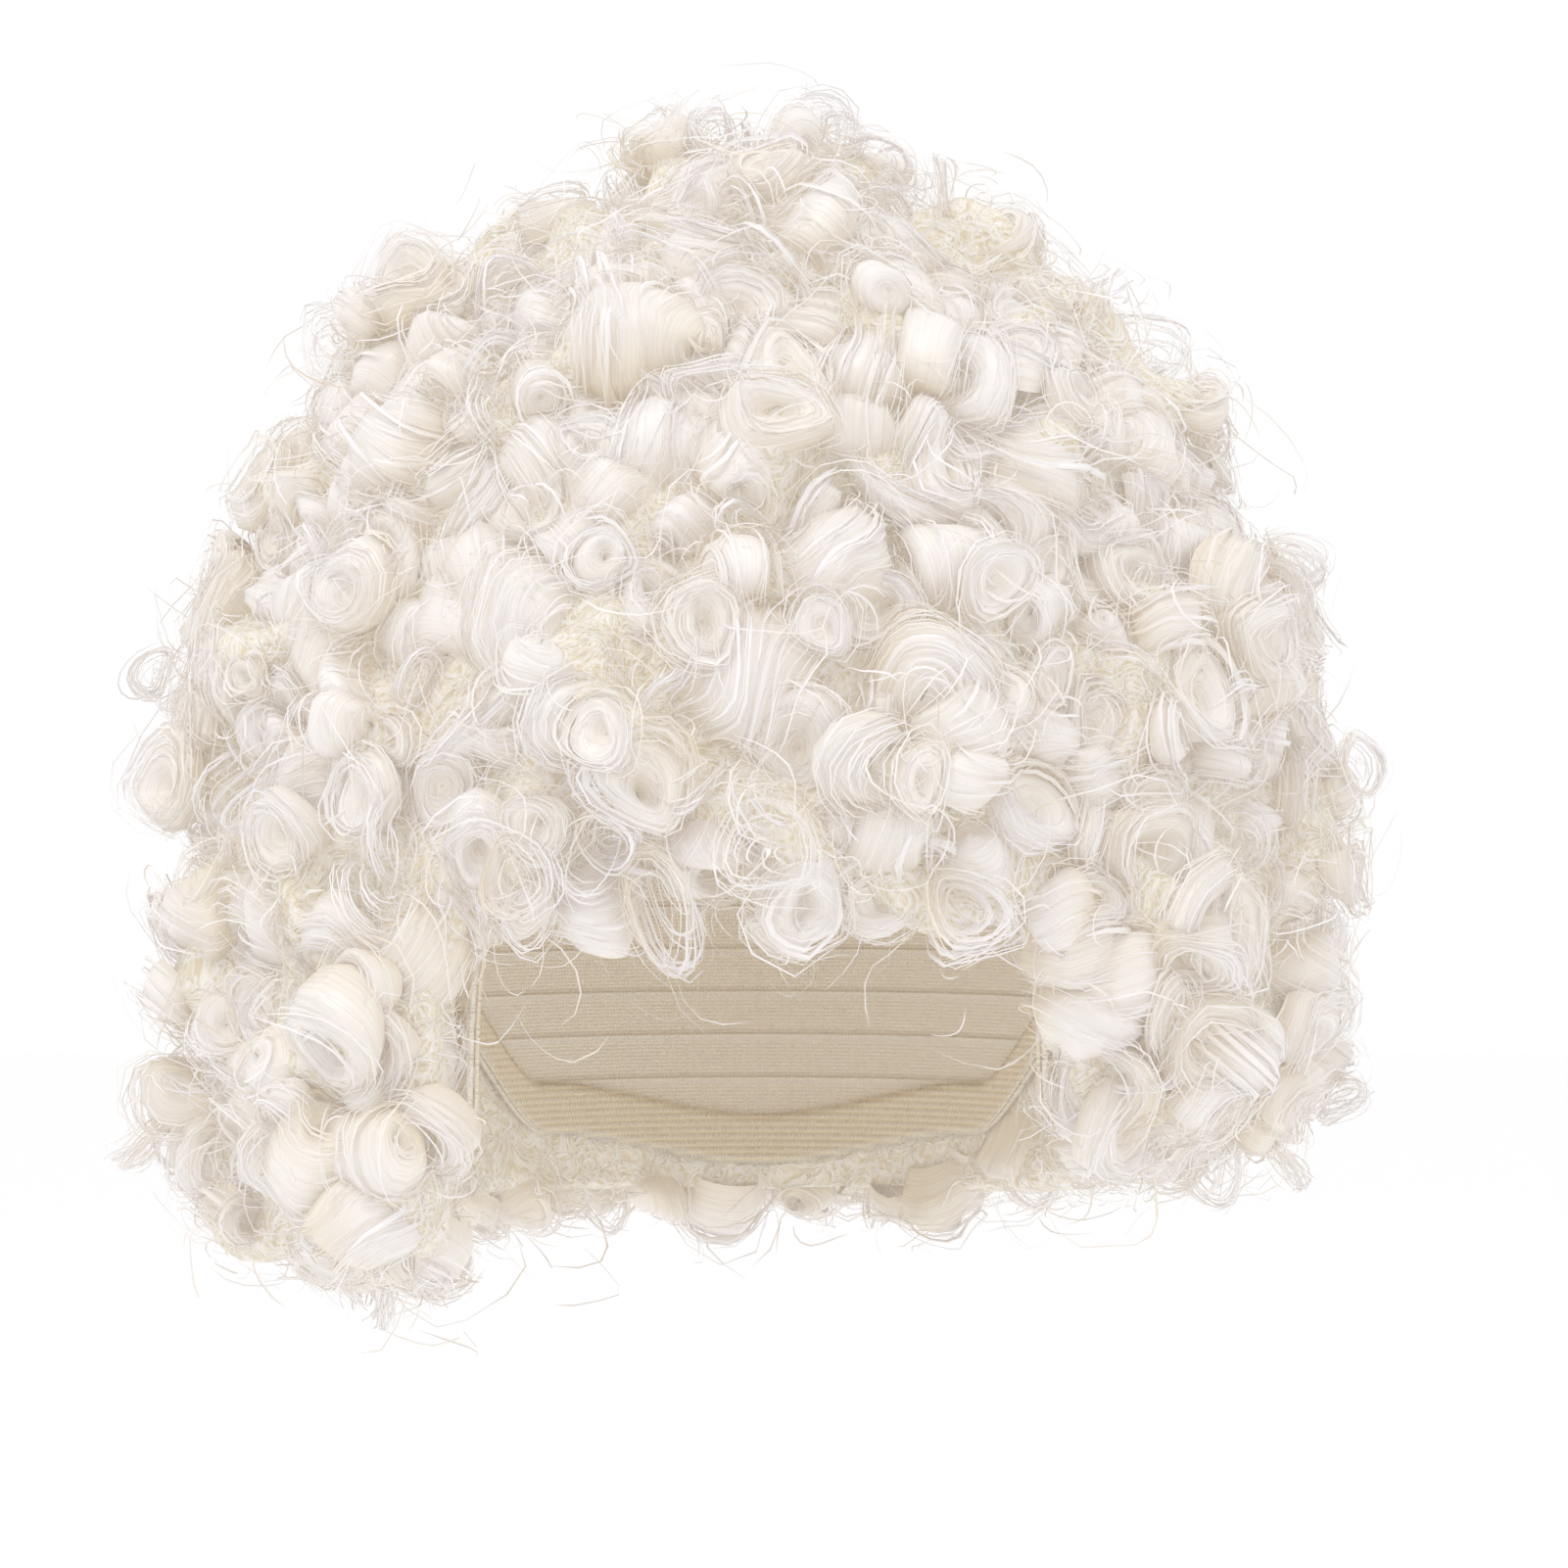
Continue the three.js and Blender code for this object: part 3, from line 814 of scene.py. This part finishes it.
def grow_loop(strands, place, way, size, fibres, wisps):
    """A loose thin loop that stands clear of the rest, with light between its strands."""
    side, _ = side_ways(way)
    axis = side + way * rng.normal(0, 0.4)
    radius = 8 * size
    centre = place - way * rng.uniform(-1, 4)
    shape = (strands, COIL, centre, axis, -way, radius, radius * 0.3)
    add_strands(*shape, place, way, "wisp", wisps, 15, 1.0, (-0.5, 0.5))
    add_strands(*shape, place, way, "fibre", fibres, 17, 1.2, (-0.8, 1.6))


def grow_arcs(strands, place, way, count, reach, radii, spread):
    """Single fibres of the tangle, each a part of a wide curl that crosses the others any way."""
    for _ in range(count):
        side, other = side_ways(way)
        radius = rng.uniform(*radii)
        axis = way + side * rng.normal(0, spread)
        centre = place + way * rng.uniform(*reach) - other * radius
        shape = (strands, COIL, centre, axis, other, radius, 1.0)
        add_strands(*shape, place + way * 3, way, "fibre", 2, 8, rng.uniform(0.25, 0.5), (-1, 1))


# ---- meshes from strands ----


def strand_mesh(name, strands, material):
    """One mesh of all strands: a fibre is a flat ribbon, a wisp a wider one that bulges out."""
    verts, quads = [], []
    painted_shade_list, strand_list, uv_list = [], [], []
    base = 0
    for kind, store in (("fibre", strands.fibres), ("wisp", strands.wisps)):
        for points, parts in sorted(store.items()):
            paths = np.concatenate([p[0] for p in parts])
            across = unit(np.concatenate([p[1] for p in parts]))
            widths = np.concatenate([np.broadcast_to(p[2], p[0].shape[:2]) for p in parts])
            painted_shades = np.concatenate([p[3] for p in parts])
            count = len(paths)
            along = np.gradient(paths, axis=1)
            other = unit(np.cross(unit(along), across))
            sides = 2 if kind == "fibre" else 3
            if kind == "fibre":
                rim = [across * 0.5, across * -0.5]
            else:
                middle = paths.mean(1, keepdims=True)
                crown = np.sign((other * (paths - middle)).sum(-1, keepdims=True)) * other * 0.22
                rim = [across * 0.5, crown, across * -0.5]
            ring = np.stack([paths + r * widths[..., None] for r in rim], 2)
            verts.append(ring.reshape(-1, 3))
            index = base + np.arange(count * points * sides).reshape(count, points, sides)
            pairs = [(0, 1)] if kind == "fibre" else [(0, 1), (1, 2)]
            for a, b in pairs:
                quad = np.stack(
                    [index[:, :-1, a], index[:, :-1, b], index[:, 1:, b], index[:, 1:, a]], -1
                )
                quads.append(quad.reshape(-1, 4))
            painted_shade_list.append(np.repeat(painted_shades.reshape(-1), sides))
            strand = rng.random((count, 1, 1))
            strand_list.append(np.broadcast_to(strand, (count, points, sides)).reshape(-1))
            length = np.cumsum(np.linalg.norm(along, axis=-1), 1)[..., None]
            place = np.stack(
                [
                    np.broadcast_to(length, (count, points, sides)) + strand * 400,
                    np.linspace(0, 1, sides) * widths[..., None] + strand * 90,
                ],
                -1,
            )
            uv_list.append(place.reshape(-1, 2))
            base += count * points * sides
    for grid, painted_shades, seed, place_uv in strands.bodies:
        rows, columns = grid.shape[:2]
        verts.append(grid.reshape(-1, 3))
        index = base + np.arange(rows * columns).reshape(rows, columns)
        quad = np.stack([index[:-1, :-1], index[:-1, 1:], index[1:, 1:], index[1:, :-1]], -1)
        quads.append(quad.reshape(-1, 4))
        painted_shade_list.append(painted_shades.reshape(-1))
        strand_list.append(np.full(rows * columns, seed))
        uv_list.append(place_uv.reshape(-1, 2))
        base += rows * columns
    co = kept_off_head(ruffled(np.concatenate(verts))) * MM
    quads = np.concatenate(quads)
    corner = quads.reshape(-1).astype(np.int32)
    starts = (np.arange(len(quads)) * 4).astype(np.int32)
    mesh = bpy.data.meshes.new(name)
    mesh.vertices.add(len(co))
    mesh.vertices.foreach_set("co", co.astype(np.float32).reshape(-1))
    mesh.loops.add(len(corner))
    mesh.loops.foreach_set("vertex_index", corner)
    mesh.polygons.add(len(starts))
    mesh.polygons.foreach_set("loop_start", starts)
    mesh.polygons.foreach_set("use_smooth", np.ones(len(starts), bool))
    mesh.update(calc_edges=True)
    # Painted shade by depth, and a random tint for each strand, stored as point attributes
    for label, values in (("painted_shade", painted_shade_list), ("strand", strand_list)):
        data = mesh.attributes.new(label, "FLOAT", "POINT").data
        data.foreach_set("value", np.concatenate(values).astype(np.float32))
    uv = mesh.uv_layers.new(name="Strand")
    uv.data.foreach_set("uv", np.concatenate(uv_list)[corner].astype(np.float32).reshape(-1))
    mesh.materials.append(material)
    mesh.validate()
    obj = bpy.data.objects.new(name, mesh)
    bpy.context.collection.objects.link(obj)
    return obj


def numbers(collection, attribute, width, kind=np.float32):
    values = np.empty(len(collection) * width, kind)
    collection.foreach_get(attribute, values)
    return values.reshape(-1, width) if width > 1 else values


def under_hair_body():
    """The soft body of hair under the curls: the solids as one form, eased and drawn in.

    Gives its points, triangles, point normals, how open each point is to the light, and the node
    of each triangle.
    """
    points, faces, owner = all_solids(HAIR_NODES)
    mesh = bpy.data.meshes.new("hair_form")
    mesh.from_pydata((points * MM).tolist(), [], faces.tolist())
    obj = bpy.data.objects.new("hair_form", mesh)
    bpy.context.collection.objects.link(obj)
    bpy.ops.object.select_all(action="DESELECT")
    obj.select_set(True)
    bpy.context.view_layer.objects.active = obj
    weld = obj.modifiers.new("weld", "WELD")
    weld.merge_threshold = 0.02 * MM
    swell = obj.modifiers.new("swell", "DISPLACE")  # closes the small gaps between the sections
    swell.strength = 0.4 * MM
    swell.mid_level = 0
    fill = obj.modifiers.new("fill", "REMESH")
    fill.mode = "VOXEL"
    fill.voxel_size = 3.4 * MM
    ease = obj.modifiers.new("ease", "SMOOTH")
    ease.factor = 0.6
    ease.iterations = 10
    split = obj.modifiers.new("split", "TRIANGULATE")
    for modifier in (weld, swell, fill, ease, split):
        bpy.ops.object.modifier_apply(modifier=modifier.name)
    mesh = obj.data
    co = numbers(mesh.vertices, "co", 3) / MM
    normal = numbers(mesh.vertex_normals, "vector", 3)
    tri = numbers(mesh.polygons, "vertices", 3, np.int32)
    bpy.data.objects.remove(obj)
    far, _, _ = head_share(co, CAP_WALL)
    gap = (far - 1) * 85
    inward = -unit((co - HAIR_MIDDLE) / HAIR_HALF**2)
    co = kept_off_head(co + inward * (np.clip((gap - 3) / 10, 0, 1) * UNDER_DEPTH)[:, None])
    tree = BVHTree.FromPolygons([Vector(p) for p in co], [tuple(t) for t in tri])
    around = ball_directions(24)
    open_share = np.zeros(len(co))
    for i, (p, n) in enumerate(zip(co, normal)):
        start = Vector(p + n * 0.8)
        seen = clear = 0
        for d in around:
            weight = float(d @ n)
            if weight < 0.15:
                continue
            seen += weight
            if tree.ray_cast(start, Vector(d), 34)[0] is None:
                clear += weight
        open_share[i] = clear / max(seen, 1e-6)
    form = BVHTree.FromPolygons([Vector(p) for p in points], [tuple(t) for t in faces])
    middles = co[tri].mean(1)
    nodes = [owner[form.find_nearest(Vector(m))[2]] for m in middles]
    return co, tri, normal, open_share, np.array(nodes)


def under_hair(name, node, material):
    """One section's share of the body under the curls."""
    co, tri, _, open_share, nodes = body
    own = tri[nodes == node]
    used, again = np.unique(own, return_inverse=True)
    mesh = bpy.data.meshes.new(name)
    mesh.from_pydata((co[used] * MM).tolist(), [], again.reshape(-1, 3).tolist())
    mesh.shade_smooth()
    # Painted shade: how open each point is to the light, which the material turns into a darker,
    # warmer cream
    painted_shade = mesh.attributes.new("painted_shade", "FLOAT", "POINT").data
    painted_shade.foreach_set("value", open_share[used].astype(np.float32))
    mesh.materials.append(material)
    obj = bpy.data.objects.new(name, mesh)
    bpy.context.collection.objects.link(obj)
    return obj


# Curls that the wig shows in set places: kind, where, place across and up, and size. Those of the
# edge are found at the hair's widest, the others on its front.
SET_CURLS = [
    ("puff", "front", -3, -51, 1.6),
    ("puff", "front", 16, -27, 1.35),
    ("puff", "front", 60, -4, 1.5),
    ("puff", "front", -51, -38, 1.5),
    ("puff", "front", 39, -49, 1.2),
    ("puff", "front", -79, 2, 1.3),
    ("puff", "front", -28, 24, 1.4),
    ("puff", "front", 22, 16, 1.2),
    ("puff", "front", -96, -74, 1.2),
    ("ringlet", "front", 107, -42, 1.15),
    ("ringlet", "front", 22, -68, 1.1),
    ("ringlet", "front", -86, -107, 1.2),
    ("ringlet", "front", -37, -60, 1.0),
    ("ringlet", "front", -62, -62, 1.1),
    ("ringlet", "front", 88, -66, 1.1),
    ("ringlet", "front", 38, -9, 1.0),
    ("ringlet", "front", 92, -108, 1.1),
    ("coil", "front", -45, -3, 1.3),
    ("coil", "front", 69, -72, 1.4),
    ("coil", "front", -80, -150, 1.2),
    ("coil", "front", 102, -128, 1.2),
    ("hanging", "front", -16, -98, 1.55),
    ("hanging", "front", 13, -83, 1.2),
    ("hanging", "front", 42, -98, 1.1),
    ("hanging", "front", -46, -92, 1.15),
    ("hanging", "front", -31, -84, 0.9),
    ("hanging", "front", 30, -80, 0.9),
    ("loop", "front", -9, 7, 1.1),
    ("loop", "edge", 17, 66, 0.9),
    ("loop", "edge", -10, 69, 0.9),
    ("loop", "edge", -88, 20, 1.1),
    ("loop", "edge", -129, -49, 0.8),
    ("loop", "edge", 128, -69, 0.85),
    ("loop", "edge", 57, 41, 0.9),
    ("loop", "edge", 95, 5, 0.8),
    ("loop", "edge", 114, -25, 0.9),
    ("coil", "edge", -129, -143, 1.1),
    ("coil", "edge", -123, -152, 1.1),
    ("coil", "edge", -116, -158, 1.0),
    ("loop", "edge", -134, -150, 1.0),
    ("loop", "edge", -112, -163, 0.9),
    ("loop", "edge", -70, -178, 1.0),
    ("loop", "edge", -80, -181, 0.8),
    ("loop", "edge", -62, -170, 0.9),
    ("coil", "edge", 122, -134, 1.1),
    ("loop", "edge", 124, -140, 0.9),
    ("loop", "edge", 114, -155, 0.8),
    ("loop", "edge", 97, -155, 0.9),
    ("loop", "edge", 60, -160, 0.8),
]

# Where the hair's outline steps in or out: place across and up, reach, and how far
OUTLINE_STEPS = [
    (-45, 52, 26, -5),
    (-9, 74, 16, 4),
    (66, 42, 22, -4),
    (86, 24, 18, -3),
    (105, 4, 20, -3),
    (-112, 0, 22, -4),
    (-136, -142, 24, 9),
    (124, -138, 26, 5),
    (117, -112, 14, 3),
]


def set_place(across, up, where):
    """A set place as a point of the hair's surface, with the way and the node there."""
    off = np.hypot(smooth_points[:, 0] - across, smooth_points[:, 2] - up)
    depth = smooth_points[:, 1]
    if where == "edge":
        extra = np.abs(depth + 10) * 0.25
    else:
        extra = np.where(depth < -20, 0, 1e3) + depth * 0.1
    i = int(np.argmin(off + extra))
    return np.array([across, depth[i], up]), surface_ways[i], surface_nodes[i]


# ---- the camera, light and floor ----

scene = bpy.context.scene
FRAME_WIDTH = 336  # what the picture takes in, side to side, at the wig's middle
CAMERA_AWAY = 1400
VIEW_ACROSS = 5.4  # the middle of the picture
VIEW_UP = -72.5
SENSOR_WIDTH = 36
camera = bpy.data.cameras.new("camera")
camera.sensor_width = SENSOR_WIDTH
camera.lens = SENSOR_WIDTH * CAMERA_AWAY / FRAME_WIDTH
camera.clip_start = 0.05
view = bpy.data.objects.new("camera", camera)
view.location = (VIEW_ACROSS * MM, -CAMERA_AWAY * MM, VIEW_UP * MM)
view.rotation_euler = (math.pi / 2, 0, 0)
bpy.context.collection.objects.link(view)
scene.camera = view
scene.view_settings.view_transform = "Standard"
scene.cycles.max_bounces = 40
scene.cycles.diffuse_bounces = 32

world = bpy.data.worlds.new("white_room")
scene.world = world
world.use_nodes = True
world.node_tree.nodes["Background"].inputs[0].default_value = (1, 1, 1, 1)
world.node_tree.nodes["Background"].inputs[1].default_value = 1.0


def add_softbox(name, place, aim, size, power):
    lamp = bpy.data.lights.new(name, "AREA")
    lamp.shape = "SQUARE"
    lamp.size = size
    lamp.energy = power
    obj = bpy.data.objects.new(name, lamp)
    obj.location = place
    obj.rotation_euler = (Vector(aim) - Vector(place)).to_track_quat("-Z", "Y").to_euler()
    bpy.context.collection.objects.link(obj)


add_softbox("key_softbox", (-0.45, -1.0, 1.35), (0, 0, -0.05), 0.7, 7)
add_softbox("fill_softbox", (0.9, -1.2, 0.3), (0, 0, -0.05), 0.8, 0.8)

FLOOR_SIZE = 14  # metres, wide enough to fill the view behind the wig
FLOOR_HEIGHT = -0.42
bpy.ops.mesh.primitive_plane_add(size=FLOOR_SIZE, location=(0, 0, FLOOR_HEIGHT))
floor = bpy.context.active_object
floor.name = "floor"
floor_paper, _, floor_surface = new_material("matt_white_paper")
floor_surface.inputs["Base Color"].default_value = linear("#FEFEFE")
floor_surface.inputs["Roughness"].default_value = 0.9
floor.data.materials.append(floor_paper)
bpy.ops.object.select_all(action="DESELECT")

# ---- make the pieces ----

hair_fibre = make_hair_fibre()
under_fibre = make_under_hair()

cap = cloth_wall("cap_cloth", CAP_WALL, 0, 160, 34, cap_depths, True)
cap.data.materials.append(make_cap_knit())
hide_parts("cap")
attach(cap, "root")

hem = cloth_wall("hem_elastic", -SEAT_GAP, -SEAT_GAP - HEM_WALL, 320, 7, hem_depths, False)
hem.data.materials.append(make_hem_elastic())
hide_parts("hem_band")
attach(hem, "root")

body = under_hair_body()
surface_points, surface_nodes, surface_ways = hair_surface(SURFACE_RAYS)
smooth_points = evened(surface_points, EVEN_REACH)
front = np.clip((30 - smooth_points[:, 1]) / 90, 0, 1)
spacing = CURL_SPACING - FRONT_CLOSER * front

for across, up, reach, far in OUTLINE_STEPS:
    off = np.hypot(smooth_points[:, 0] - across, smooth_points[:, 2] - up) / reach
    smooth_points += surface_ways * (far * np.clip(1.3 * (1 - off * off), 0, 1))[:, None]

# The lowest curls hang less far on the right, and behind on the left
LOW_EDGE = -148
LOW_RISE = 9
low = smooth_points[:, 2] < LOW_EDGE
smooth_points[low & (smooth_points[:, 0] < -94), 2] += LOW_RISE
smooth_points[low & (smooth_points[:, 0] > 50) & (smooth_points[:, 1] > 20), 2] += LOW_RISE

pieces = {}


def strands_of(node):
    part = pieces.setdefault(node, [Strands()])
    if part[-1].triangles() > MOST_TRIANGLES:
        part.append(Strands())
    return part[-1]


CLEAR_ROUND = {"puff": 9, "ringlet": 9, "coil": 7}  # room round a set curl of size 1
FRINGE_FRONT = -112.0  # how far forward the fringe's loops hang
free = np.ones(len(smooth_points), bool)
for kind, where, across, up, size in SET_CURLS:
    place, way, node = set_place(across, up, where)
    strands = strands_of(node)
    if kind in CLEAR_ROUND:
        free &= np.linalg.norm(smooth_points - place, axis=1) > CLEAR_ROUND[kind] * size
    if kind == "puff":
        grow_puff(strands, place, way, size, 70, 12)
    elif kind == "ringlet":
        grow_ringlet(strands, place + way, way, size, 26, 6)
    elif kind == "coil":
        grow_coil(strands, place + way, way, size, 24, 6)
    elif kind == "hanging":
        fringe_place = np.array([across, FRINGE_FRONT, up])
        grow_loop(strands, fringe_place, np.array([0.9, 0.25, -0.3]), size, 26, 1)
    else:
        out = unit(np.array([across, 0, up + 62.0]))
        grow_loop(strands, place, unit(way * 0.5 + out), size, 20, 1)

choice = np.flatnonzero(free)
kept = choice[thinned(smooth_points[choice], spacing[choice])]
for i in kept:
    place, way = smooth_points[i], surface_ways[i]
    strands = strands_of(surface_nodes[i])
    kind = rng.random()
    size = 0.62 + 0.6 * rng.random() ** 1.3
    if kind < CURL_KINDS["ringlet"]:
        grow_ringlet(strands, place, way, size, 21, 3)
    elif kind < CURL_KINDS["coil"]:
        grow_coil(strands, place, way, size, 21, 3)
    elif kind < CURL_KINDS["puff"]:
        grow_puff(strands, place, way, size * 0.95, 22, 3)
    else:
        grow_loop(strands, place, way, size, 16, 1)
    grow_arcs(strands, place, way, 2, (-4, 2), (7, 17), 0.8)

body_points, body_triangles, body_normals, _, body_nodes = body
outside = head_share(body_points, CAP_WALL)[0] > 1.05
for i in rng.permutation(len(body_triangles))[:TANGLE_PLACES]:
    corners = body_triangles[i]
    if outside[corners].all() and body_nodes[i] in pieces:
        way = unit(body_normals[corners].mean(0))
        middle = body_points[corners].mean(0)
        strands = strands_of(body_nodes[i])
        grow_arcs(strands, middle, way, 1, (-0.5, 3.5), (3.5, 10), 0.5)

total = 0
for node, part in pieces.items():
    base_name = node.replace("_hair", "")
    under = under_hair(f"{base_name}_under_hair", node, under_fibre)
    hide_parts(node)
    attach(under, "root")
    total += len(under.data.polygons)
    for number, strands in enumerate(part):
        label = f"{base_name}_curls" if len(part) == 1 else f"{base_name}_curls_{number + 1}"
        curls = strand_mesh(label, strands, hair_fibre)
        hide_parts(node)
        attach(curls, "root")
        total += strands.triangles()
        print(label, strands.triangles())
print("curls", len(kept), "triangles", total)
